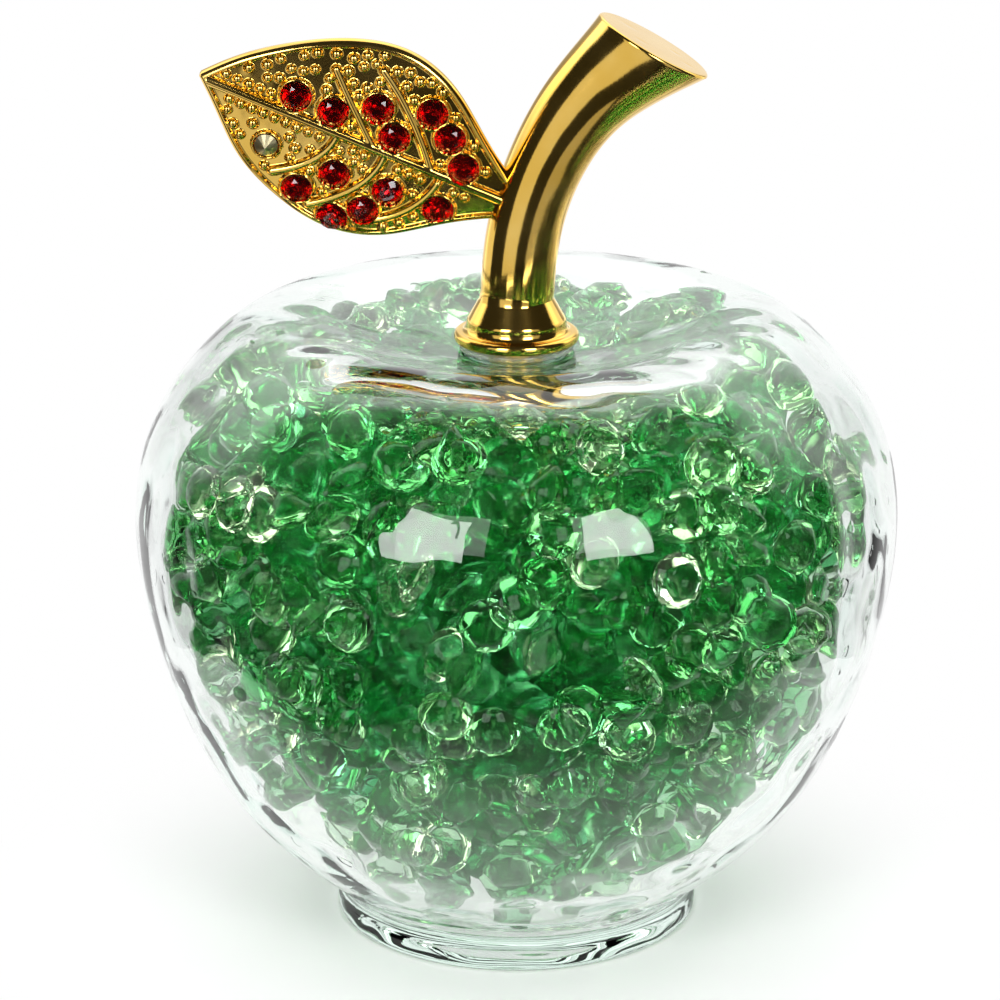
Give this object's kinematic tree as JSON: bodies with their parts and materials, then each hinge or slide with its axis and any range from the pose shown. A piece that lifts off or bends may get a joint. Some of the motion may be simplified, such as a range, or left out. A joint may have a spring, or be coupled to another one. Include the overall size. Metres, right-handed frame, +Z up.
{
  "type": "apple figurine",
  "caption": "Blown-glass apple on a short foot, filled with loose cut green gems and closed by a curved gilt stem that carries a gilt leaf set with red stones.",
  "frame": {"origin": "on the apple's axis at the underside of its foot ring", "axes": "+Z up along the apple's axis, -Y towards the viewer, the leaf points to -X and the stem bends to +X"},
  "size_m": [0.08, 0.08, 0.0973],
  "materials": {
    "clear_glass": "clear, fire polished",
    "green_gem": "clear green, faceted, polished",
    "clear_bung": "translucent soft",
    "gilt_stem": "mirror gilt",
    "gilt_leaf": "mirror gilt, beaded",
    "red_stone": "foiled back, faceted",
    "grey_stone": "foil side out"
  },
  "bodies": {
    "apple": {"glass_apple": "clear_glass", "gem_fill": "green_gem"},
    "bung": {"neck_bung": "clear_bung"},
    "stem": {"stem": "gilt_stem", "leaf": "gilt_leaf", "red_stone_01": "red_stone", "red_stone_02": "red_stone", "red_stone_03": "red_stone", "red_stone_04": "red_stone", "red_stone_05": "red_stone", "red_stone_06": "red_stone", "red_stone_07": "red_stone", "red_stone_08": "red_stone", "red_stone_09": "red_stone", "red_stone_10": "red_stone", "red_stone_11": "red_stone", "red_stone_12": "red_stone", "red_stone_13": "red_stone", "grey_stone": "grey_stone"}
  },
  "joints": [
    {"name": "stem_lift", "type": "slide", "parent": "apple", "child": "bung", "axis": [0, 0, 1], "range_m": [0, 0.025]},
    {"name": "stem_turn", "type": "hinge", "parent": "bung", "child": "stem", "pos_m": [0, 0, 0.06], "axis": [0, 0, 1], "continuous": true}
  ]
}
